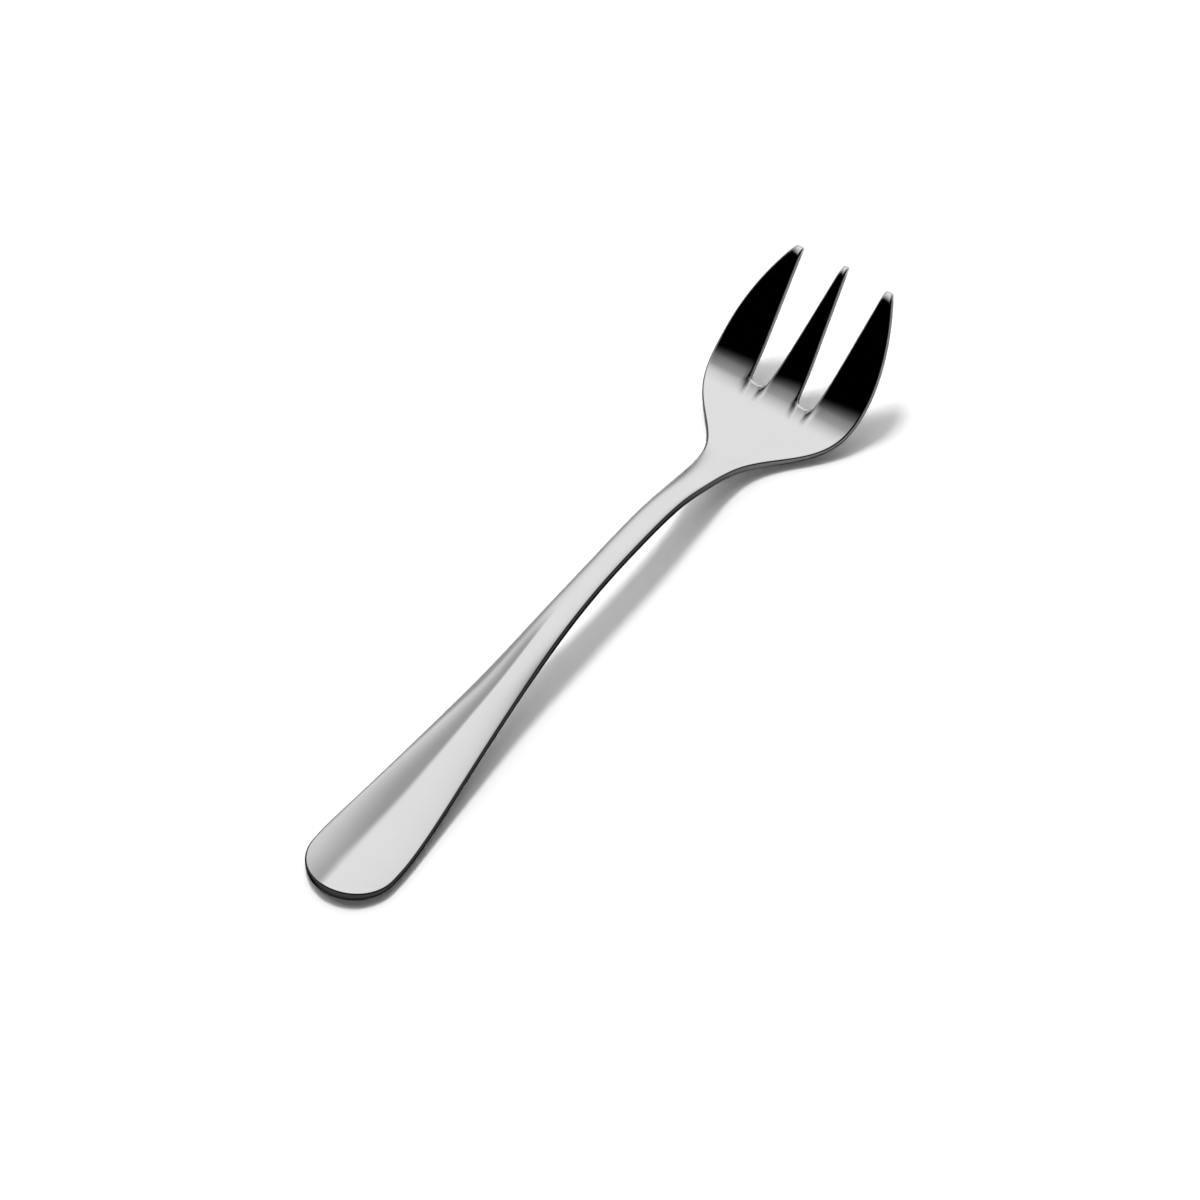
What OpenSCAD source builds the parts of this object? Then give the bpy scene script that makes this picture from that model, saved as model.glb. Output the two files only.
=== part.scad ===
// Small three-tined table fork, pressed from one blank of stainless steel.
// Lengths along the fork follow its curve, as they lie on the flat blank before it is bent.
// +X points from the handle to the tines, +Y to the left tine, +Z up from the table.
// The six regions of the blank meet face to face on shared cross-sections.

/* [Handle] */
// Length of the handle, from its round end to the neck
handle_len = 62.4; // [50:0.2:80]
// Width of the handle at its widest place
handle_w = 15.8; // [12:0.2:20]
// Length of the round end, from its tip to the widest place
round_end_len = 7.2; // [4:0.2:10]
// Squareness of the round end: 2 is an ellipse and more is squarer
round_end_power = 2.25; // [2:0.05:3.5]
// Length of the stretch that keeps the full width
wide_len = 2.5; // [0:0.5:10]
// How early the handle narrows: 1 is even and less is earlier
taper_power = 0.72; // [0.5:0.02:1.2]
// How far the narrowing runs on into the neck
taper_into_neck = 16; // [5:1:28]
// Thickness along the middle of the handle
handle_t = 2.4; // [1.8:0.1:4]
// Thickness at the sides of the handle
handle_edge_t = 1.7; // [1:0.1:3]

/* [Neck] */
// Length of the neck
neck_len = 46; // [30:1:70]
// Width of the neck at its narrowest
neck_w = 4.4; // [3.5:0.1:8]
// Width of the neck where it meets the head
neck_front_w = 5.6; // [4:0.1:10]
// Length over which the neck widens to that
neck_flare_len = 14; // [6:1:24]
// Thickness along the middle of the neck
neck_t = 2.6; // [1.8:0.1:4]
// Thickness at the sides of the neck
neck_edge_t = 1.9; // [1:0.1:3]

/* [Head] */
// Length of the head, from the neck to the ends of the slots
head_len = 20; // [14:0.5:30]
// Width across the outer tines at the widest place
head_w = 28.4; // [22:0.1:36]
// How far past the slot ends the widest place lies
widest_past_slots = 5.4; // [3:0.2:9]
// How far back into the neck the shoulders start to flare
shoulder_lead = 5; // [2:0.5:12]
// How sharply the shoulders turn out: 1 is straight and more is sharper
shoulder_power = 2.2; // [1.5:0.1:3]
// Thickness along the middle of the head
head_t = 1.7; // [1.2:0.1:3]
// Thickness at the sides of the head
head_edge_t = 1.25; // [0.8:0.05:2.5]
// Depth of the shallow dish across the head
dish_depth = 1.1; // [0:0.1:3]

/* [Tines] */
// Length of the middle tine, from the slot ends to its tip
tine_len = 24.3; // [18:0.1:36]
// How much shorter the two side tines are
side_setback = 0.5; // [0:0.1:3]
// Width over the outer edges of the side tines at their tips
tips_w = 19.0; // [16:0.2:26]
// Width of a side tine at its tip
side_tip_w = 1.3; // [1:0.1:2.6]
// Width of the middle tine at its tip
middle_tip_w = 1.0; // [0.8:0.1:2.6]
// Width of the middle tine at the slot ends
middle_root_w = 6.2; // [4:0.1:8]
// Width of a slot at its end
slot_root_w = 3.1; // [2.4:0.1:4.5]
// Radius of the two corners at a slot's end
slot_corner_r = 0.9; // [0.3:0.1:1.1]
// Thickness of every tine at its tip
tine_tip_t = 1.1; // [0.7:0.05:2]
// Length over which a tip rounds off
tip_round_len = 0.6; // [0.3:0.1:1.2]

/* [Bends] */
// Length of the handle's end that lies flat on the table
flat_len = 5; // [3:0.5:12]
// Slope to which the handle rises from the table, in degrees
rise_angle = 7.2; // [4:0.2:10]
// Length over which the handle bends up to that slope
rise_len = 24; // [12:1:34]
// Turn of the long arch over the neck, in degrees
arch_angle = 11; // [6:0.5:16]
// Length of the long arch
arch_len = 42; // [24:1:50]
// How far back into the handle the long arch starts
arch_lead = 9; // [0:1:14]
// Length of the tighter bend that brings the neck down to the head
drop_len = 16; // [10:1:24]
// Straight length between that bend and the head
drop_gap = 6; // [0:0.5:10]
// Length over which the head and the tine roots curve up
bowl_len = 31; // [22:1:40]
// Slope of the tines above the table, in degrees
tine_angle = 42; // [20:1:55]

/* [Hidden] */

steel = [0.80, 0.80, 0.81];

// Places along the blank
neck_start = handle_len;
head_start = neck_start + neck_len;
tine_start = head_start + head_len;
middle_tip = tine_start + tine_len;
side_tip = middle_tip - side_setback;
widest = tine_start + widest_past_slots;
taper_start = round_end_len + wide_len;
taper_end = neck_start + taper_into_neck;
flare_start = head_start - shoulder_lead;

// Depth of the rounded edge as a share of the edge's thickness
edge_round = 0.35;
// Curve of the outer tine edges from the widest place to the tips
outer_edge_power = 2.1;
// Share of the dish that is left at the tips
tip_dish = 0.3;
// Share of its section that a rounded tip or end keeps at its last ring
last_ring = 0.4;
// Length over which the handle's end rounds off in thickness
end_round_len = 0.8;
// Place of the handle's first ring
first_ring = 0.05;
// Step along the blank when its curve is added up
curve_step = 0.25;

// Rings along each region, and facets across its faces and round its edges
handle_rings = 36;
neck_rings = 18;
head_rings = 18;
tine_rings = 18;
tip_rings = 4;
face_facets = 10;
tine_facets = 4;
edge_facets = 4;
// Crowding of the rings towards the handle's end and the slot ends
end_crowding = 1.8;
root_crowding = 1.6;

// Smooth step from 0 to 1 over a share u
function limit(u) = min(1, max(0, u));
function ease(u) = let (c = limit(u)) c * c * (3 - 2 * c);
function step_over(s, start, length) = ease((s - start) / length);
// Step from 0 to 1 that stays flat for longer at both ends
function s_curve(u, power) =
    let (c = limit(u), a = pow(c, power), b = pow(1 - c, power)) a / (a + b);
// Share of a section that is left on the way round a tip, u from 0 to 1
function round_off(u) = sqrt(1 - (1 - last_ring * last_ring) * pow(limit(u), 2));

// Slope of the blank at s once the drop to the head turns by a given angle
function slope(s, drop_angle) =
    rise_angle * step_over(s, flat_len, rise_len)
    - arch_angle * step_over(s, neck_start - arch_lead, arch_len)
    - drop_angle * step_over(s, head_start - drop_gap - drop_len, drop_len)
    + (tine_angle - rise_angle + arch_angle + drop_angle) * step_over(s, head_start, bowl_len);

// The underside's middle line as points [x, z], one per step
function heading(a) = [cos(a), sin(a)];
function curve(drop_angle) =
    [for (s = 0, p = [0, 0]; s < middle_tip + 2 * curve_step;
          p = p + curve_step * heading(slope(s + curve_step / 2, drop_angle)), s = s + curve_step) p];
// Lowest height of the head's underside
function head_low(drop_angle) =
    let (c = curve(drop_angle)) min([for (i = [floor(head_start / curve_step):len(c) - 1]) c[i][1]]);
// Turn that brings the head down to the table again, by secant steps
function settle(a, b, rounds) =
    let (low_a = head_low(a), low_b = head_low(b))
    rounds == 0 || abs(low_b - low_a) < 1e-9 ? b
        : settle(b, b - low_b * (b - a) / (low_b - low_a), rounds - 1);
drop_turn = settle(10, 14, 5);
line = curve(drop_turn);
function line_at(s) =
    let (i = floor(s / curve_step), u = s / curve_step - i) line[i] * (1 - u) + line[i + 1] * u;

fork_len = line_at(middle_tip)[0] - tine_tip_t / 2 * (1 - last_ring) * sin(tine_angle);

// Half width of the blank, without the slots
function handle_flare(s) =
    (handle_w - neck_w) / 2
    * (1 - ease(pow(limit((s - taper_start) / (taper_end - taper_start)), taper_power)));
function neck_flare(s) =
    (neck_front_w - neck_w) / 2 * step_over(s, head_start - neck_flare_len, neck_flare_len);
function head_flare(s) =
    (head_w - neck_front_w) / 2 * s_curve((s - flare_start) / (widest - flare_start), shoulder_power);
function round_end(s) =
    handle_w / 2 * pow(1 - pow(1 - limit(s / round_end_len), round_end_power), 1 / round_end_power);
function tine_pull(s) =
    (head_w - tips_w) / 2 * pow(max(0, (s - widest) / (side_tip - widest)), outer_edge_power);
function half_w(s) =
    s < round_end_len ? round_end(s)
        : neck_w / 2 + handle_flare(s) + neck_flare(s) + head_flare(s) - tine_pull(s);

// Thickness along the blank: handle, neck, head, tips
function along(s, handle_v, neck_v, head_v, tip_v) =
    handle_v
    + (neck_v - handle_v) * step_over(s, neck_start - arch_lead, taper_into_neck + arch_lead)
    + (head_v - neck_v) * step_over(s, flare_start, widest - flare_start)
    + (tip_v - head_v) * limit((s - tine_start) / tine_len);
function middle_t(s) = along(s, handle_t, neck_t, head_t, tine_tip_t);
function edge_t(s) = along(s, handle_edge_t, neck_edge_t, head_edge_t, tine_tip_t);
function thickness(s, y) =
    let (u = limit(abs(y) / half_w(s))) edge_t(s) + (middle_t(s) - edge_t(s)) * (1 - u * u);
// Height of the underside across the blank
function dish(s, y) =
    dish_depth * step_over(s, flare_start, widest - flare_start)
    * (1 - (1 - tip_dish) * limit((s - widest) / (middle_tip - widest)))
    * pow(y / (head_w / 2), 2);

// Edges of the slots and tines on the left half
function slot_fillet(s) =
    let (d = slot_corner_r - min(slot_corner_r, s - tine_start))
    slot_corner_r - sqrt(slot_corner_r * slot_corner_r - d * d);
function middle_half_w(s) =
    middle_root_w / 2 + (middle_tip_w - middle_root_w) / 2 * (s - tine_start) / tine_len
    + slot_fillet(s);
side_root_y = middle_root_w / 2 + slot_root_w;
side_tip_y = tips_w / 2 - side_tip_w;
function side_inner_y(s) =
    side_root_y + (side_tip_y - side_root_y) * (s - tine_start) / (side_tip - tine_start)
    - slot_fillet(s);

// Cross-section points [y, height] from y0 to y1 at s, shrunk by keep about its middle
function section(s, y0, y1, facets, keep) =
    let (r = min(edge_round * edge_t(s), 0.45 * (y1 - y0)),
         flat = [for (i = [0:facets]) y0 + r + (y1 - y0 - 2 * r) * i / facets],
         turn = [for (j = [1:edge_facets - 1]) 180 * j / edge_facets],
         ring = concat([for (y = flat) [y, 1]],
                       [for (a = turn) [y1 - r + r * sin(a), cos(a)]],
                       [for (i = [facets:-1:0]) [flat[i], -1]],
                       [for (a = turn) [y0 + r - r * sin(a), -cos(a)]]))
    [for (p = ring) let (t = thickness(s, p[0])) [p[0], dish(s, p[0]) + t / 2 * (1 + keep * p[1])]];

// A section point set in its place on the bent blank
function place(s, p) =
    let (c = line_at(s), a = slope(s, drop_turn))
    [c[0] - p[1] * sin(a) - fork_len / 2, p[0], c[1] + p[1] * cos(a)];

// Faces that close a section: strips from its upper to its lower points, and its two round edges
function closing(facets) =
    let (far = 2 * facets + edge_facets)
    concat([for (i = [0:facets - 1]) [i, i + 1, far - i - 1, far - i]],
           [[for (i = [facets:facets + edge_facets]) i]],
           [[for (i = [far:far + edge_facets]) i % (far + edge_facets)]]);

// Skin over a list of sections that each have the same number of facets
module skin(rings, facets) {
    n = len(rings[0]);
    last = len(rings) - 1;
    sides = [for (k = [0:last - 1], i = [0:n - 1])
             let (a = k * n + i, b = k * n + (i + 1) % n) each [[a, b, b + n], [a, b + n, a + n]]];
    back = [for (face = closing(facets)) [for (i = [len(face) - 1:-1:0]) face[i]]];
    front = [for (face = closing(facets)) [for (i = face) last * n + i]];
    polyhedron([for (ring = rings) each ring], concat(back, sides, front), convexity = 6);
}

// A region of the full width of the blank, with a ring at each place
module plate(places) {
    skin([for (s = places)
          let (keep = round_off(1 - s / end_round_len), w = half_w(s))
          [for (p = section(s, -w, w, face_facets, keep)) place(s, p)]], face_facets);
}

// Places of the rings of a tine that ends at tip
function tine_places(tip) =
    concat([for (i = [0:tine_rings])
            tine_start + (tip - tip_round_len - tine_start) * pow(i / tine_rings, root_crowding)],
           [for (k = [1:tip_rings]) tip - tip_round_len * (1 - sin(90 * k / tip_rings))]);

// One ring of a tine between two edges, drawn in where the tip rounds off
function tine_ring(s, tip, y0, y1) =
    let (keep = round_off((s - tip + tip_round_len) / tip_round_len),
         mid = (y0 + y1) / 2,
         half = (y1 - y0) / 2 * keep)
    [for (p = section(s, mid - half, mid + half, tine_facets, keep)) place(s, p)];

module handle() {
    color(steel)
        plate([for (i = [0:handle_rings])
               first_ring + (neck_start - first_ring) * pow(i / handle_rings, end_crowding)]);
}

module neck() {
    color(steel) plate([for (i = [0:neck_rings]) neck_start + neck_len * i / neck_rings]);
}

module head() {
    color(steel) plate([for (i = [0:head_rings]) head_start + head_len * i / head_rings]);
}

module middle_tine() {
    color(steel)
        skin([for (s = tine_places(middle_tip))
              tine_ring(s, middle_tip, -middle_half_w(s), middle_half_w(s))], tine_facets);
}

module left_tine() {
    color(steel)
        skin([for (s = tine_places(side_tip))
              tine_ring(s, side_tip, side_inner_y(s), half_w(s))], tine_facets);
}

module right_tine() {
    color(steel)
        skin([for (s = tine_places(side_tip))
              tine_ring(s, side_tip, -half_w(s), -side_inner_y(s))], tine_facets);
}

handle();
neck();
head();
left_tine();
middle_tine();
right_tine();
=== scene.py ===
from math import cos, hypot, pi, radians, sin
import bmesh
import bpy
from mathutils import Matrix, Vector


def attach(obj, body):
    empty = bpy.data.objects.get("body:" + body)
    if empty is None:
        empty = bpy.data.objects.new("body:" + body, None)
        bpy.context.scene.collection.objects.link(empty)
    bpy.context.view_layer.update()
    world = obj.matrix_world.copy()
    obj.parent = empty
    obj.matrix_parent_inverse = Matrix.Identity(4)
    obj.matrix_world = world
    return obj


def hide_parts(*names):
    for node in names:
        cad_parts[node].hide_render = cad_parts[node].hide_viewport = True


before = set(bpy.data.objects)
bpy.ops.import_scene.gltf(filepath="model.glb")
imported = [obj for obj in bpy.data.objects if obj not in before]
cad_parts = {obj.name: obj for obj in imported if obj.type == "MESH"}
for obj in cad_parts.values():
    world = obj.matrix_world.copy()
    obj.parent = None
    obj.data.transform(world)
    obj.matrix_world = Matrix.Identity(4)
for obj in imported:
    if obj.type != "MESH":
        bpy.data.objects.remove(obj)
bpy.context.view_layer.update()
scene = bpy.context.scene
scene.view_settings.view_transform = "Standard"
mm = 0.001
print("frame loaded with", len(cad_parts), "nodes")


def hexColour(code):  # sRGB hex to linear
    parts = [int(code[i:i + 2], 16) / 255 for i in (0, 2, 4)]
    return [c / 12.92 if c <= 0.04045 else ((c + 0.055) / 1.055) ** 2.4 for c in parts] + [1.0]


def addNode(tree, kind, inputs, **settings):  # a link where the value is a socket, else a constant
    node = tree.nodes.new(kind)
    for name, value in settings.items():
        setattr(node, name, value)
    for name, value in inputs.items():
        if isinstance(value, bpy.types.NodeSocket):
            tree.links.new(value, node.inputs[name])
        else:
            node.inputs[name].default_value = value
    return node


def newMaterial(name):
    material = bpy.data.materials.new(name)
    material.use_nodes = True
    material.node_tree.nodes.clear()
    return material, material.node_tree


def meshObject(name, bm, material):
    mesh = bpy.data.meshes.new(name)
    bm.to_mesh(mesh)
    bm.free()
    mesh.materials.append(material)
    mesh.polygons.foreach_set("use_smooth", [True] * len(mesh.polygons))
    piece = bpy.data.objects.new(name, mesh)
    scene.collection.objects.link(piece)
    return piece


# camera: a long lens, above and behind the handle's right side, in mm and in pixels of a 1200 frame
viewpoint = {"lens": 420, "sensor": 36, "elevation": 49.1, "turn": 35.14, "distance": 2265.4,
             "aim": (0.17, 0.08, 7.95), "aimPixel": (590.4, 579.6), "framePixels": 1200, "clipFar": 20000}
lift, turn = radians(viewpoint["elevation"]), radians(viewpoint["turn"])
camRight = Vector((sin(turn), -cos(turn), 0))
away = Vector((cos(turn), sin(turn), 0))
lookDir = away * cos(lift) - Vector((0, 0, sin(lift)))
camUp = away * sin(lift) + Vector((0, 0, cos(lift)))
perPixel = viewpoint["distance"] * viewpoint["sensor"] / viewpoint["lens"] / viewpoint["framePixels"]
offRight = (viewpoint["aimPixel"][0] - viewpoint["framePixels"] / 2) * perPixel
offUp = (viewpoint["framePixels"] / 2 - viewpoint["aimPixel"][1]) * perPixel
eye = Vector(viewpoint["aim"]) - lookDir * viewpoint["distance"] - camRight * offRight - camUp * offUp
camData = bpy.data.cameras.new("camera")
camData.lens = viewpoint["lens"]
camData.sensor_width = viewpoint["sensor"]
camData.clip_end = viewpoint["clipFar"] * mm
camera = bpy.data.objects.new("camera", camData)
camera.matrix_world = Matrix.Translation(eye * mm) @ Matrix((camRight, camUp, -lookDir)).transposed().to_4x4()
scene.collection.objects.link(camera)
scene.camera = camera
print("camera at", [round(c, 4) for c in camera.location])

# fork: lengths in mm along the flat blank, from the handle's round end to the tips; angles in degrees
# a lead is how far before the neck, head or slots a change starts, and a len how far it takes
fork = {
    # outline of the blank
    "handleLen": 63.4, "handleW": 15.85, "endLen": 7.9, "endPower": 2.02, "wideLen": 2.5,
    "taperPower": 0.72, "taperIntoNeck": 16,
    "neckLen": 46, "neckW": 4.65, "neckFrontW": 5.75, "neckFlareLen": 14,
    "headLen": 20, "headW": 28.8, "widestPastSlots": 4.9, "shoulderLead": 5.5, "shoulderPower": 2.2,
    "tineLen": 24.3, "sideSetback": 0.5, "tipsW": 19.0, "sideTipW": 1.3, "middleTipW": 1.0,
    "middleRootW": 6.2, "slotRootW": 3.1, "slotCorner": 1.2, "outerPower": 1.95,
    # bends, and two guesses from which the drop to the table is found
    "flatLen": 5, "riseAngle": 7.2, "riseLen": 24, "archAngle": 11, "archLen": 42, "archLead": 9,
    "dropLen": 16, "dropGap": 6, "dropGuess": (10.0, 14.0), "bowlLen": 31, "tineAngle": 42,
    # thickness on the middle line
    "handleT": 2.45, "neckT": 2.15, "headT": 1.65, "tipT": 1.22, "thinLead": 20, "tipBack": 0.6,
    # rise of the underside to its edges and to the handle's round end
    "handleBelly": 0.62, "neckBelly": 0.5, "headBelly": 0.55, "tipBelly": 0.05, "endBelly": 0.6,
    "bellyLead": 2, "bellyLen": 5,
    # crown of handle and neck
    "handleCrown": 0.66, "neckCrown": 0.26, "crownPower": 2.0, "neckCrownPower": 2.8,
    "crownIntoNeck": 5, "crownFadeLen": 22, "crownEndLead": 4, "crownEndLen": 18,
    # soft shoulder along the sides of handle and neck
    "rollW": 0.8, "rollDepth": 0.05, "rollLead": 2, "rollLen": 8, "rollEndLen": 14,
    # hollow across the head, and across each tine
    "dish": 0.12, "tineHollow": 0.03, "hollowLead": 1, "hollowLen": 4, "tineReach": 0.5,
    # rounded rims: room for them across a tine is at most a share of it
    "slabT": 0.8, "rimRound": 0.34, "rimRoom": 0.38, "rimSegments": 5,
    "middleRimShare": 0.72, "sideRimShare": 0.3, "cornerTurn": 1.0, "shadedBandTilt": 0.9, "slotEndUnshadedTilt": 0.3,
    # creases that run on from the slots into the head, and dropped tips
    "coinDepth": 0.11, "coinHalfW": 0.5, "coinLen": 3.9, "coinPast": 0.9,
    "noseLen": 1.9, "noseDrop": 0.6, "noseHalfW": 3,
    # rows and columns of the mesh, and how they run near the slots
    "middleCols": 10, "slotCols": 18, "sideCols": 11, "endSteps": 32,
    "rowStep": 1.0, "headRowStep": 0.55, "lastRowMost": 1.5, "slotLead": 0.35, "tineRows": 30,
    "fanLead": 12, "fanLen": 7, "leanBack": 0.25, "leanLen": 2.5, "leanPower": 3,
}
neckStart = fork["handleLen"]
headStart = neckStart + fork["neckLen"]
slotEnd = headStart + fork["headLen"]
middleTip = slotEnd + fork["tineLen"]
sideTip = middleTip - fork["sideSetback"]
widest = slotEnd + fork["widestPastSlots"]
flareStart = headStart - fork["shoulderLead"]
lineStep = 0.25  # mm from point to point of the bent line
spareSteps = 3  # points of it beyond the tips
dropRounds, settled = 6, 1e-9  # tries at the drop, and the mm below which it is found
smallStep = 0.1  # mm, to measure how askew the outline runs
sameSpot = 1e-3  # closer points, rows and columns are one
halfCol = 0.5  # between two columns


def ease(u):
    c = min(1, max(0, u))
    return c * c * (3 - 2 * c)


def stepOver(s, start, length):
    return ease((s - start) / length)


def slope(s, dropAngle):  # degrees above the table
    level = fork["riseAngle"] - fork["archAngle"] - dropAngle
    return (fork["riseAngle"] * stepOver(s, fork["flatLen"], fork["riseLen"])
            - fork["archAngle"] * stepOver(s, neckStart - fork["archLead"], fork["archLen"])
            - dropAngle * stepOver(s, headStart - fork["dropGap"] - fork["dropLen"], fork["dropLen"])
            + (fork["tineAngle"] - level) * stepOver(s, headStart, fork["bowlLen"]))


def underLine(dropAngle):  # the underside's middle line as [x, z], one point a step
    points, x, z = [], 0.0, 0.0
    for i in range(int(middleTip / lineStep) + spareSteps):
        points.append((x, z))
        a = radians(slope((i + 0.5) * lineStep, dropAngle))
        x, z = x + lineStep * cos(a), z + lineStep * sin(a)
    return points


def headLow(dropAngle):
    return min(z for x, z in underLine(dropAngle)[int(headStart / lineStep):])


dropA, dropB = fork["dropGuess"]
for i in range(dropRounds):  # the drop that brings the head down to the table
    lowA, lowB = headLow(dropA), headLow(dropB)
    if abs(lowB - lowA) > settled:
        dropA, dropB = dropB, dropB - lowB * (dropB - dropA) / (lowB - lowA)
line = underLine(dropB)


def lineAt(s):
    i = max(0, int(s / lineStep))
    u = s / lineStep - i
    return [a * (1 - u) + b * u for a, b in zip(line[i], line[i + 1])]


forkLen = lineAt(middleTip)[0] - fork["tipT"] / 2 * fork["tipBack"] * sin(radians(fork["tineAngle"]))


def halfWidth(s):  # of the blank without its slots
    taperStart = fork["endLen"] + fork["wideLen"]
    taperEnd = neckStart + fork["taperIntoNeck"]
    u = min(1, max(0, (s - taperStart) / (taperEnd - taperStart)))
    handleFlare = (fork["handleW"] - fork["neckW"]) / 2 * (1 - ease(u ** fork["taperPower"]))
    neckFlare = ((fork["neckFrontW"] - fork["neckW"]) / 2
                 * stepOver(s, headStart - fork["neckFlareLen"], fork["neckFlareLen"]))
    c = min(1, max(0, (s - flareStart) / (widest - flareStart)))
    a, b = c ** fork["shoulderPower"], (1 - c) ** fork["shoulderPower"]
    headFlare = (fork["headW"] - fork["neckFrontW"]) / 2 * a / (a + b)
    pull = max(0, (s - widest) / (sideTip - widest)) ** fork["outerPower"]
    tipsIn = (fork["headW"] - fork["tipsW"]) / 2 * pull
    return fork["neckW"] / 2 + handleFlare + neckFlare + headFlare - tipsIn


def middleEdge(s):  # half width of the middle tine
    narrowing = (fork["middleTipW"] - fork["middleRootW"]) * (s - slotEnd) / fork["tineLen"]
    return (fork["middleRootW"] + narrowing) / 2


def sideEdge(s):  # inner edge of a side tine
    root = fork["middleRootW"] / 2 + fork["slotRootW"]
    tip = fork["tipsW"] / 2 - fork["sideTipW"]
    return root + (tip - root) * (s - slotEnd) / (sideTip - slotEnd)


def outShare(s, y):  # 0 on the middle line, 1 on the outline; the crown runs straight on to the handle's end
    return min(1, abs(y) / halfWidth(s))


def tineShare(s, y):  # 0 on a tine's own middle line, 1 on its edges
    if abs(y) < middleEdge(s) + fork["tineReach"]:
        return min(1, abs(y) / middleEdge(s))
    low, high = sideEdge(s), halfWidth(s)
    return min(1, abs(2 * abs(y) - low - high) / (high - low))


def along(s, key):  # a size that goes from the handle through neck and head to the tips
    handleV, neckV, headV, tipV = (fork[part + key] for part in ("handle", "neck", "head", "tip"))
    intoNeck = stepOver(s, neckStart - fork["archLead"], fork["taperIntoNeck"] + fork["archLead"])
    intoHead = stepOver(s, flareStart - fork["thinLead"], slotEnd - flareStart + fork["thinLead"])
    onTine = min(1, max(0, (s - slotEnd) / fork["tineLen"]))
    return handleV + (neckV - handleV) * intoNeck + (headV - neckV) * intoHead + (tipV - headV) * onTine


def topFall(s, y):  # the crown of handle and neck, which the head's flat top does not have
    inNeck = stepOver(s, neckStart + fork["crownIntoNeck"] - fork["crownFadeLen"], fork["crownFadeLen"])
    power = fork["crownPower"] + (fork["neckCrownPower"] - fork["crownPower"]) * inNeck
    crown = fork["handleCrown"] + (fork["neckCrown"] - fork["handleCrown"]) * inNeck
    crowned = 1 - stepOver(s, flareStart - fork["crownEndLead"], fork["crownEndLen"])
    roll = min(1, max(0, 1 - (halfWidth(s) - abs(y)) / fork["rollW"])) ** 2
    rolled = (stepOver(s, fork["endLen"] - fork["rollLead"], fork["rollLen"])
              * (1 - stepOver(s, flareStart, fork["rollEndLen"])))
    return crown * outShare(s, y) ** power * crowned + fork["rollDepth"] * roll * rolled


def underRise(s, y):
    onTines = stepOver(s, slotEnd - fork["bellyLead"], fork["bellyLen"])
    across = (1 - onTines) * outShare(s, y) ** 2 + onTines * tineShare(s, y) ** 2
    return along(s, "Belly") * across + fork["endBelly"] * max(0, 1 - s / fork["endLen"]) ** 2


def thickness(s, y):
    return along(s, "T") - topFall(s, y) - underRise(s, y)


def dishAt(s, y):  # the head is a little hollow across, and each tine on its own
    inHead = stepOver(s, flareStart, slotEnd - flareStart)
    onTines = stepOver(s, slotEnd - fork["hollowLead"], fork["hollowLen"])
    return (fork["dish"] * inHead * (y * 2 / fork["headW"]) ** 2
            + fork["tineHollow"] * onTines * tineShare(s, y) ** 2)


def coinAt(s, y):  # 0 to 1 in the creases, which follow the slot edges
    reach = (stepOver(s, slotEnd - fork["coinLen"], fork["coinLen"])
             * (1 - stepOver(s, slotEnd, fork["coinPast"])))
    off = min(abs(abs(y) - middleEdge(s)), abs(abs(y) - sideEdge(s)))
    return reach * max(0, 1 - off / fork["coinHalfW"])


# columns across the blank: middle tine, slot and side tine, counted from the middle line
colM = fork["middleCols"]
colS = colM + fork["slotCols"]
colN = colS + fork["sideCols"]
room = fork["rimRoom"]
slotRow = slotEnd + fork["slotCorner"]  # the row on which the tines part


def rimRoomAt(s):  # wider where the outline runs askew, so that the rim keeps its own width
    return room * hypot(1, (halfWidth(s + smallStep) - halfWidth(s - smallStep)) / (2 * smallStep))


def tineColumn(s, k):  # y of column k on a tine
    if k <= colM:
        edge = middleEdge(s)
        inner = edge - min(room, fork["middleRimShare"] * edge)
        return edge if k == colM else inner * k / (colM - 1)
    low, high = sideEdge(s), halfWidth(s)
    if k in (colS, colN):
        return low if k == colS else high
    side = min(room, fork["sideRimShare"] * (high - low))
    return low + side + (high - low - 2 * side) * (k - colS - 1) / (colN - colS - 2)


def headColumn(k):  # y of column k where the tines part, slots included
    if colM < k < colS:
        return middleEdge(slotRow) + (sideEdge(slotRow) - middleEdge(slotRow)) * (k - colM) / (colS - colM)
    return tineColumn(slotRow, k)


def outShareOf(k):
    return headColumn(k) / (halfWidth(slotRow) - room)


def slotCurve(t):  # the slot's round end as [s, y], t from 0 to 1 across it
    r = fork["slotCorner"]
    left, right = middleEdge(slotRow), sideEdge(slotRow)
    flatL, flatR = fork["middleRootW"] / 2 + r, fork["middleRootW"] / 2 + fork["slotRootW"] - r
    quarter = r * pi / 2
    d = t * (2 * quarter + flatR - flatL)
    if d < quarter:
        return slotEnd + r * (1 - sin(d / r)), flatL - (flatL - left) * cos(d / r)
    if d < quarter + flatR - flatL:
        return slotEnd, flatL + d - quarter
    e = d - quarter - (flatR - flatL)
    return slotEnd + r * (1 - cos(e / r)), flatR + (right - flatR) * sin(e / r)


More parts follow.
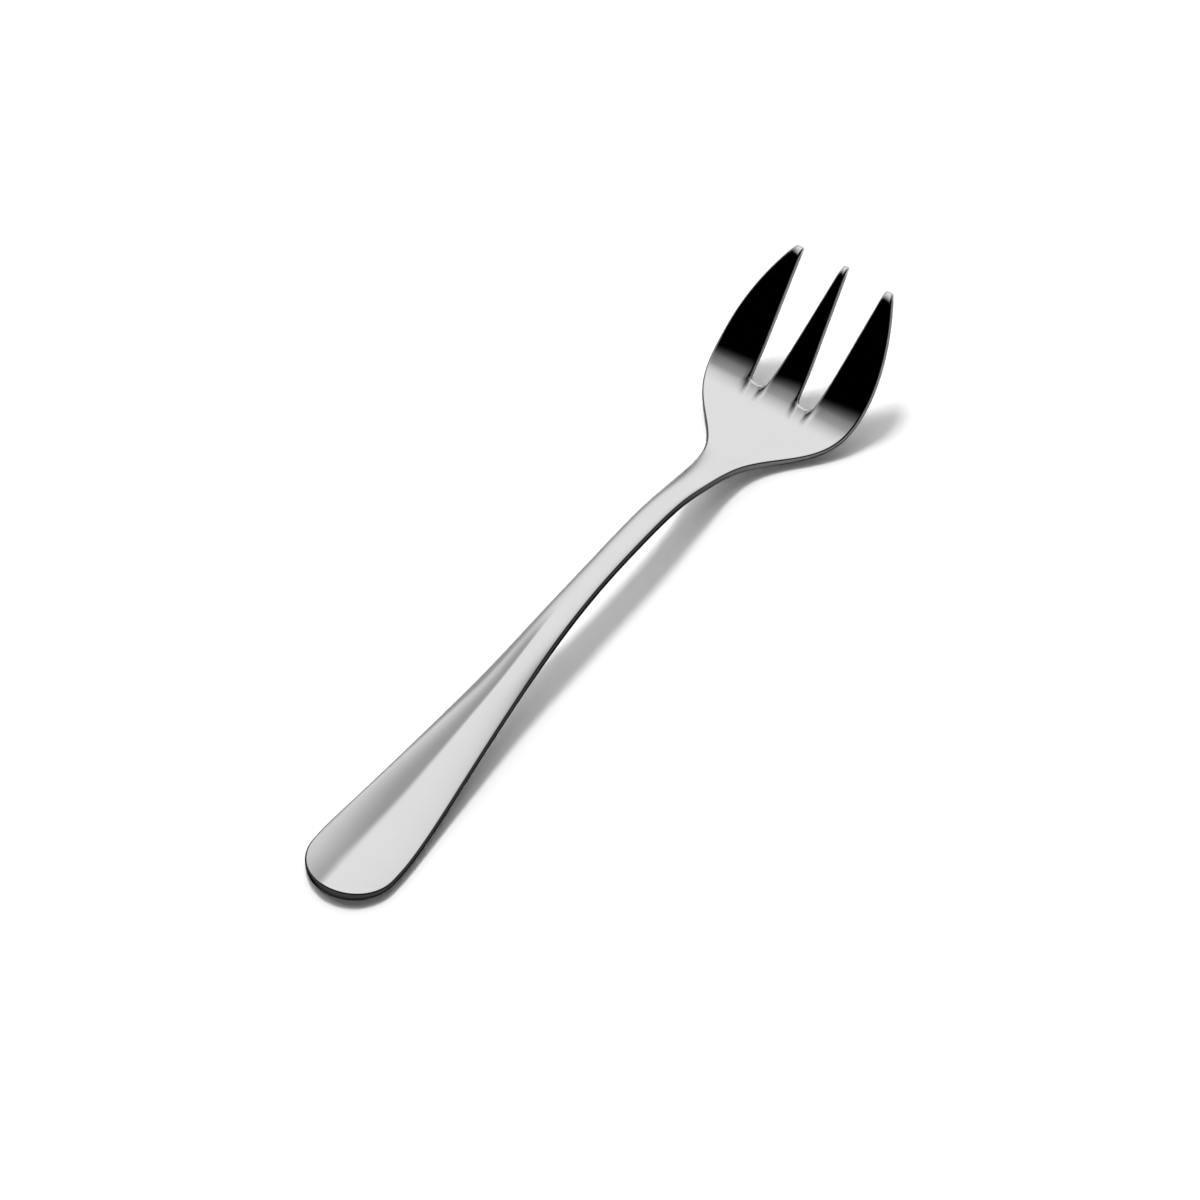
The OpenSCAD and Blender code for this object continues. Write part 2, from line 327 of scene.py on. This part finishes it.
def blankPoint(x, k):  # from rows and columns to the flat blank
    if x < -sameSpot:  # the round end, spun about a point on the middle line
        ring = hypot(x, k)
        a, b = -x / ring, k / ring
        p = fork["endPower"]
        reach = ((a / fork["endLen"]) ** p + (abs(b) * 2 / fork["handleW"]) ** p) ** (-1 / p)
        if ring < colN - sameSpot:
            reach = (reach - room) * outShareOf(round(ring))
        return fork["endLen"] - a * reach, b * reach
    s, side, k = fork["endLen"] + x, (-1 if k < 0 else 1), abs(round(k))
    inSlot = (k - colM) / (colS - colM)  # 0 to 1 across a slot
    if s > slotRow - sameSpot:
        if 0 < inSlot < 1:
            s, y = slotCurve(inSlot)
            return s, side * y
        return s, side * tineColumn(s, k)
    w = halfWidth(s)
    flat = w - rimRoomAt(s)
    y = w if k == colN else flat * outShareOf(k)
    if k < colN:  # columns run straight near the slots and fan in towards the neck
        inner = headColumn(colS)
        straight = headColumn(k)
        if k > colS:
            straight = inner + (flat - inner) * (straight - inner) / (halfWidth(slotRow) - room - inner)
        y += (straight - y) * stepOver(s, slotEnd - fork["fanLead"], fork["fanLen"])
    if 0 < inSlot < 1:  # rows lean back round a slot's end
        lean = 1 - abs(2 * inSlot - 1) ** fork["leanPower"]
        s -= fork["leanBack"] * lean * max(0, 1 - (slotEnd - s) / fork["leanLen"])
    return s, side * y


def placed(s, y, h):  # a point of the blank once it is pressed to its curve
    x, z = lineAt(s)
    a = radians(slope(s, dropB))
    return Vector((x - h * sin(a) - forkLen / 2, y, z + h * cos(a))) * mm


def extrudeRow(bm, edges, s):
    made = bmesh.ops.extrude_edge_only(bm, edges=edges)["geom"]
    verts = [g for g in made if isinstance(g, bmesh.types.BMVert)]
    for v in verts:
        v.co.x = s - fork["endLen"]
    new = set(verts)
    return [g for g in made if isinstance(g, bmesh.types.BMEdge) and g.verts[0] in new and g.verts[1] in new]


def stampBlank(bm):
    half = [bm.verts.new((0, k, 0)) for k in range(colN + 1)]  # from the middle line to the left edge
    row = [bm.edges.new(pair) for pair in zip(half, half[1:])]
    bmesh.ops.spin(bm, geom=half + row, axis=(0, 0, 1), cent=(0, 0, 0), angle=pi, steps=fork["endSteps"])
    bmesh.ops.remove_doubles(bm, verts=bm.verts, dist=sameSpot)
    edges = [e for e in bm.edges if all(abs(v.co.x) < sameSpot for v in e.verts)]
    s, lastRow = fork["endLen"], slotEnd - fork["slotLead"]
    while s < lastRow - sameSpot:
        left = lastRow - s
        step = fork["headRowStep"] if s > headStart else fork["rowStep"]
        s += left if left < fork["lastRowMost"] * step else step
        edges = extrudeRow(bm, edges, s)
    edges = extrudeRow(bm, edges, slotRow)
    tines = {"middle": [e for e in edges if all(abs(v.co.y) < colM + halfCol for v in e.verts)],
             "left": [e for e in edges if all(v.co.y > colS - halfCol for v in e.verts)],
             "right": [e for e in edges if all(v.co.y < halfCol - colS for v in e.verts)]}
    for name, edges in tines.items():
        tip = middleTip if name == "middle" else sideTip
        for i in range(1, fork["tineRows"] + 1):
            edges = extrudeRow(bm, edges, slotRow + (tip - room - slotRow) * i / fork["tineRows"])
        extrudeRow(bm, edges, tip)
    for v in bm.verts:
        v.co.x, v.co.y = blankPoint(v.co.x, v.co.y)
    print("blank stamped,", len(bm.faces), "faces")


def roundEdges(bm):  # on an even slab, thinner than the fork
    made = bmesh.ops.extrude_face_region(bm, geom=bm.faces[:])["geom"]
    for v in [g for g in made if isinstance(g, bmesh.types.BMVert)]:
        v.co.z = fork["slabT"]
    bmesh.ops.recalc_face_normals(bm, faces=bm.faces)
    walls = {f for f in bm.faces if min(v.co.z for v in f.verts) == 0 < max(v.co.z for v in f.verts)}
    rims = []
    for e in bm.edges:
        inWall = [f for f in e.link_faces if f in walls]
        isCorner = len(inWall) == 2 and inWall[0].normal.angle(inWall[1].normal) > fork["cornerTurn"]
        if len(inWall) == 1 or isCorner:
            rims.append(e)
    bmesh.ops.bevel(bm, geom=rims, affect="EDGES", offset=fork["rimRound"], offset_type="OFFSET",
                    segments=fork["rimSegments"], profile=0.5, material=-1, clamp_overlap=False)
    bm.normal_update()
    for face in bm.faces:
        s, y, h = face.calc_center_median()
        inSlot = abs(s - slotEnd) < fork["slotCorner"] and middleEdge(s) < abs(y) < sideEdge(s)
        slotEndUnshaded = inSlot and face.normal.z > fork["slotEndUnshadedTilt"]  # the slots' ends keep the polished steel, without the edge band's painted shade
        inShadedBand = abs(face.normal.z) < fork["shadedBandTilt"]  # the edge band and most of its rims, which are painted with shade
        face.material_index = int(inShadedBand and not slotEndUnshaded)
    print("edges rounded,", len(bm.faces), "faces")


def pressFork(bm):
    creaseDepthAndShade = bm.verts.layers.float.new("creaseDepthAndShade")  # 1 in the creases beyond the slot edges, which are cut deeper there, made rougher and painted with shade
    for v in bm.verts:  # the slab's upper half goes up to the real thickness
        s, y, h = v.co
        t = thickness(s, y)
        tip = middleTip if abs(y) < fork["noseHalfW"] else sideTip
        nose = max(0, (s - tip + fork["noseLen"]) / fork["noseLen"])
        if h > fork["slabT"] / 2:
            v[creaseDepthAndShade] = coinAt(s, y)
            h += t - fork["slabT"] - v[creaseDepthAndShade] * fork["coinDepth"]
        h *= 1 - fork["noseDrop"] * nose ** 2 / t
        v.co = placed(s, y, h + dishAt(s, y) + underRise(s, y))


# stainless steel, mirror-polished on a buffing wheel
# a clear reflection with a faint haze, hairlines along the fork, and a rough crease painted with shade beyond
# each slot edge
steel = {"pale": "E1E1E1", "deep": "DBDBDB", "creaseShade": "3A3A3A",
         "rough": 0.05, "hazeRough": 0.02, "creaseRough": 0.35, "hazeFrom": 0.1, "hazeTo": 0.5,
         "hazeMm": 11, "hazeDetail": 3.0, "hairMm": 0.3, "hairLenMm": 14, "hairDetail": 2.0,
         "waveMm": 6, "waveHeightMm": 0.0015}
polishedSteel, tree = newMaterial("mirrorPolishedStainlessSteel")
where = addNode(tree, "ShaderNodeTexCoord", {}).outputs["Object"]
haze = addNode(tree, "ShaderNodeTexNoise", {"Vector": where, "Scale": 1 / (steel["hazeMm"] * mm),
               "Detail": steel["hazeDetail"]})
stretch = addNode(tree, "ShaderNodeMapping", {"Vector": where, "Scale": (
    1 / (steel["hairLenMm"] * mm), 1 / (steel["hairMm"] * mm), 1 / (steel["hairMm"] * mm))})
hair = addNode(tree, "ShaderNodeTexNoise", {"Vector": stretch.outputs[0], "Scale": 1.0,
               "Detail": steel["hairDetail"]})
both = addNode(tree, "ShaderNodeMath", {0: haze.outputs[0], 1: hair.outputs[0]}, operation="MULTIPLY")
rough = addNode(tree, "ShaderNodeMapRange", {"Value": both.outputs[0],
                "From Min": steel["hazeFrom"], "From Max": steel["hazeTo"],
                "To Min": steel["rough"], "To Max": steel["rough"] + steel["hazeRough"]})
tone = addNode(tree, "ShaderNodeMix", {0: haze.outputs[0], 6: hexColour(steel["pale"]),
               7: hexColour(steel["deep"])}, data_type="RGBA")
# painted shade: the creases beyond the slot edges are painted dark and made rougher
creaseDepthAndShade = addNode(tree, "ShaderNodeAttribute", {}, attribute_name="creaseDepthAndShade").outputs["Fac"]
tone = addNode(tree, "ShaderNodeMix", {0: creaseDepthAndShade, 6: tone.outputs[2],
               7: hexColour(steel["creaseShade"])}, data_type="RGBA")
rough = addNode(tree, "ShaderNodeMix", {0: creaseDepthAndShade, 2: rough.outputs[0], 3: steel["creaseRough"]})
wave = addNode(tree, "ShaderNodeTexNoise", {"Vector": where, "Scale": 1 / (steel["waveMm"] * mm),
               "Detail": 0.0})
bump = addNode(tree, "ShaderNodeBump", {"Height": wave.outputs[0], "Strength": 1.0,
               "Distance": steel["waveHeightMm"] * mm})
shader = addNode(tree, "ShaderNodeBsdfPrincipled", {"Base Color": tone.outputs[2], "Metallic": 1.0,
                 "Roughness": rough.outputs[0], "Normal": bump.outputs[0]})
addNode(tree, "ShaderNodeOutputMaterial", {"Surface": shader.outputs[0]})

# stainless steel for the edge band, painted dark grey as painted shade, and rough enough to blur what it
# reflects
shadedEdgeSteel = {"pale": "444444", "deep": "383838", "grazing": "959595",
             "tine": "828282", "tineFromMm": 20, "tineToMm": 60,
             "tip": "D8D8D8", "tipFromMm": 71.6, "tipToMm": 72.6,
             "rough": 0.13, "grainRough": 0.07, "grainFrom": 0.3, "grainTo": 0.7,
             "grainMm": 0.25, "grainDetail": 2.0}
shadedSatinEdge, tree = newMaterial("satinSteelEdgeWithPaintedShade")
where = addNode(tree, "ShaderNodeTexCoord", {}).outputs["Object"]
grain = addNode(tree, "ShaderNodeTexNoise", {"Vector": where, "Scale": 1 / (shadedEdgeSteel["grainMm"] * mm),
                "Detail": shadedEdgeSteel["grainDetail"]})
rough = addNode(tree, "ShaderNodeMapRange", {"Value": grain.outputs[0],
                "From Min": shadedEdgeSteel["grainFrom"], "From Max": shadedEdgeSteel["grainTo"],
                "To Min": shadedEdgeSteel["rough"], "To Max": shadedEdgeSteel["rough"] + shadedEdgeSteel["grainRough"]})
# painted shade: the edge band's base is dark grey
tone = addNode(tree, "ShaderNodeMix", {0: grain.outputs[0], 6: hexColour(shadedEdgeSteel["pale"]),
               7: hexColour(shadedEdgeSteel["deep"])}, data_type="RGBA")
lengthwise = addNode(tree, "ShaderNodeSeparateXYZ", {"Vector": where}).outputs["X"]
for place in ("tine", "tip"):  # the edge band's painted shade is lighter along the tines' sides and almost gone at the tips
    nearer = addNode(tree, "ShaderNodeMapRange", {"Value": lengthwise,
                     "From Min": shadedEdgeSteel[place + "FromMm"] * mm,
                     "From Max": shadedEdgeSteel[place + "ToMm"] * mm})
    tone = addNode(tree, "ShaderNodeMix", {0: nearer.outputs[0], 6: tone.outputs[2],
                   7: hexColour(shadedEdgeSteel[place])}, data_type="RGBA")
shader = addNode(tree, "ShaderNodeBsdfPrincipled", {"Base Color": tone.outputs[2], "Metallic": 1.0,
                 "Roughness": rough.outputs[0], "Specular Tint": hexColour(shadedEdgeSteel["grazing"])})
addNode(tree, "ShaderNodeOutputMaterial", {"Surface": shader.outputs[0]})

forkMesh = bmesh.new()
stampBlank(forkMesh)
roundEdges(forkMesh)
pressFork(forkMesh)
forkPiece = meshObject("fork", forkMesh, polishedSteel)
forkPiece.data.materials.append(shadedSatinEdge)
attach(forkPiece, "root")
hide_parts("handle", "neck", "head", "left_tine", "middle_tine", "right_tine")
print("fork pressed,", len(forkPiece.data.polygons), "faces")


# studio: white paper, two softboxes beyond the fork, and three cloths overhead that only the steel sees
# an edge on a cloth is a turn from +X in degrees, and the places in metres where its fade starts and ends
def card(name, half, height, material):
    bm = bmesh.new()
    bmesh.ops.create_grid(bm, size=half, matrix=Matrix.Translation((0, 0, height)))
    piece = meshObject(name, bm, material)
    return piece


def hangCloth(name, sheet, material):
    cloth = card(name, sheet["half"], sheet["height"], material)
    cloth.visible_camera = cloth.visible_diffuse = cloth.visible_shadow = False
    cloth.visible_transmission = cloth.visible_volume_scatter = False


def clothEdge(tree, edge):  # 0 to 1 across a soft straight edge
    turned, start, stop = edge
    place = addNode(tree, "ShaderNodeTexCoord", {}).outputs["Object"]
    across = addNode(tree, "ShaderNodeVectorMath", {
        0: place, 1: (cos(radians(turned)), sin(radians(turned)), 0)}, operation="DOT_PRODUCT")
    return addNode(tree, "ShaderNodeMapRange", {
        "Value": across.outputs["Value"], "From Min": start, "From Max": stop},
        interpolation_type="SMOOTHSTEP").outputs[0]


def insideEdges(tree, cover, edges):  # the cover is kept where all these edges are 1
    for edge in edges:
        cover = addNode(tree, "ShaderNodeMath", {0: cover, 1: clothEdge(tree, edge)},
                        operation="MULTIPLY").outputs[0]
    return cover


def litCloth(tree, level, cover):  # clear where the cover is 0
    glow = addNode(tree, "ShaderNodeEmission", {"Color": (1, 1, 1, 1), "Strength": level})
    clear = addNode(tree, "ShaderNodeBsdfTransparent", {})
    mixed = addNode(tree, "ShaderNodeMixShader", {0: cover, 1: clear.outputs[0], 2: glow.outputs[0]})
    addNode(tree, "ShaderNodeOutputMaterial", {"Surface": mixed.outputs[0]})


# coated backdrop paper: even, without gloss
floorPaper = {"half": 3.0, "height": 0, "tone": "FCFCFC", "grain": "FFFFFF", "grainMm": 40}
paper, tree = newMaterial("matteWhitePaper")
where = addNode(tree, "ShaderNodeTexCoord", {}).outputs["Object"]
grain = addNode(tree, "ShaderNodeTexNoise", {"Vector": where, "Scale": 1 / (floorPaper["grainMm"] * mm)})
shade = addNode(tree, "ShaderNodeMix", {0: grain.outputs[0], 6: hexColour(floorPaper["tone"]),
                7: hexColour(floorPaper["grain"])}, data_type="RGBA")
surface = addNode(tree, "ShaderNodeBsdfDiffuse", {"Color": shade.outputs[2]})
addNode(tree, "ShaderNodeOutputMaterial", {"Surface": surface.outputs[0]})
card("floor", floorPaper["half"], floorPaper["height"], paper)

# white woven cloth, lit evenly from behind: black towards the camera and the right, with grey walls beyond
scrim = {"half": 120.0, "height": 2.0, "front": (33.0, -0.36, 0.71), "right": (94.2, -3.0, 0.8),
         "left": (112.0, 3.4, 0.6), "leftDark": 0.1, "farGrey": 0.7,
         "farWalls": ((33.0, -2.7, -4.2), (94.2, -3.7, -5.2), (112.0, 3.7, 4.9))}
scrimCloth, tree = newMaterial("whiteScrimCloth")
left = addNode(tree, "ShaderNodeMapRange", {"Value": clothEdge(tree, scrim["left"]),
               "To Min": scrim["leftDark"], "To Max": 1.0}).outputs[0]
white = insideEdges(tree, left, (scrim["front"], scrim["right"]))
for edge in scrim["farWalls"]:
    wall = addNode(tree, "ShaderNodeMath", {0: clothEdge(tree, edge), 1: scrim["farGrey"]},
                   operation="MULTIPLY").outputs[0]
    white = addNode(tree, "ShaderNodeMath", {0: white, 1: wall}, operation="MAXIMUM").outputs[0]
glow = addNode(tree, "ShaderNodeEmission", {"Color": (1, 1, 1, 1), "Strength": white})
addNode(tree, "ShaderNodeOutputMaterial", {"Surface": glow.outputs[0]})
hangCloth("scrim", scrim, scrimCloth)

# grey woven cloth over the left side: paler away from the camera, its edge softer there
greyScrim = {"half": 1.5, "height": 0.5, "turn": 105.9, "start": 0.176, "stop": 0.212, "stopFar": 0.25,
             "soften": (35.2, 0.36, 0.48), "near": (35.2, 0.19, 0.27), "far": (35.2, 1.0, 0.6),
             "left": (125.2, 0.36, 0.27), "shade": (70.0, 0.32, 0.59), "dark": 0.43, "pale": 0.84}
greyCloth, tree = newMaterial("greyScrimCloth")
stop = addNode(tree, "ShaderNodeMapRange", {"Value": clothEdge(tree, greyScrim["soften"]),
               "To Min": greyScrim["stop"], "To Max": greyScrim["stopFar"]}).outputs[0]
side = clothEdge(tree, (greyScrim["turn"], greyScrim["start"], stop))
cover = insideEdges(tree, side, (greyScrim["near"], greyScrim["far"], greyScrim["left"]))
level = addNode(tree, "ShaderNodeMapRange", {"Value": clothEdge(tree, greyScrim["shade"]),
                "To Min": greyScrim["dark"], "To Max": greyScrim["pale"]}).outputs[0]
litCloth(tree, level, cover)
hangCloth("greyScrim", greyScrim, greyCloth)

# pale woven cloth, small and close above the neck: white, and then greyer to the left
neckScrim = {"half": 0.6, "height": 0.12, "start": (0.0, 0.03, 0.055), "side": (105.9, 0.036, 0.046),
             "shade": (105.9, 0.03, 0.135), "pale": 1.0, "dark": 0.4}
neckCloth, tree = newMaterial("paleScrimCloth")
cover = insideEdges(tree, clothEdge(tree, neckScrim["start"]), (neckScrim["side"],))
level = addNode(tree, "ShaderNodeMapRange", {"Value": clothEdge(tree, neckScrim["shade"]),
                "To Min": neckScrim["pale"], "To Max": neckScrim["dark"]}).outputs[0]
litCloth(tree, level, cover)
hangCloth("neckScrim", neckScrim, neckCloth)

# a small high softbox and a wide low one behind it
softboxes = {"keyDir": (0.343, 0.378, 0.860), "keyAngle": 12.0, "keyPower": 1.9,
             "bounceLift": 46.0, "bounceAngle": 76.0, "bouncePower": 1.95}
keyDir = Vector(softboxes["keyDir"]).normalized()
bounceLift = radians(softboxes["bounceLift"])
bounceDir = keyDir.xy.normalized().to_3d() * cos(bounceLift) + Vector((0, 0, sin(bounceLift)))
for name, fromDir in (("key", keyDir), ("bounce", bounceDir)):
    light = bpy.data.lights.new(name + "Softbox", "SUN")
    light.angle = radians(softboxes[name + "Angle"])
    light.energy = softboxes[name + "Power"]
    lamp = bpy.data.objects.new(name + "Softbox", light)
    lamp.matrix_world = fromDir.to_track_quat("Z", "Y").to_matrix().to_4x4()
    lamp.visible_glossy = False  # the steel shows the cloths and not the lamps
    scene.collection.objects.link(lamp)

# room: white where it is seen, with only a little of its light on the paper
whiteRoom = {"seen": 1.0, "fill": 0.15}
world = bpy.data.worlds.new("whiteRoom")
scene.world = world
world.use_nodes = True
tree = world.node_tree
tree.nodes.clear()
path = addNode(tree, "ShaderNodeLightPath", {})
seen = path.outputs["Is Camera Ray"]
for ray in ("Is Glossy Ray", "Is Transmission Ray"):
    seen = addNode(tree, "ShaderNodeMath", {0: seen, 1: path.outputs[ray]}, operation="MAXIMUM").outputs[0]
level = addNode(tree, "ShaderNodeMapRange", {"Value": seen, "To Min": whiteRoom["fill"],
                "To Max": whiteRoom["seen"]})
sky = addNode(tree, "ShaderNodeBackground", {"Color": (1, 1, 1, 1), "Strength": level.outputs[0]})
addNode(tree, "ShaderNodeOutputWorld", {"Surface": sky.outputs[0]})
print("studio lit")
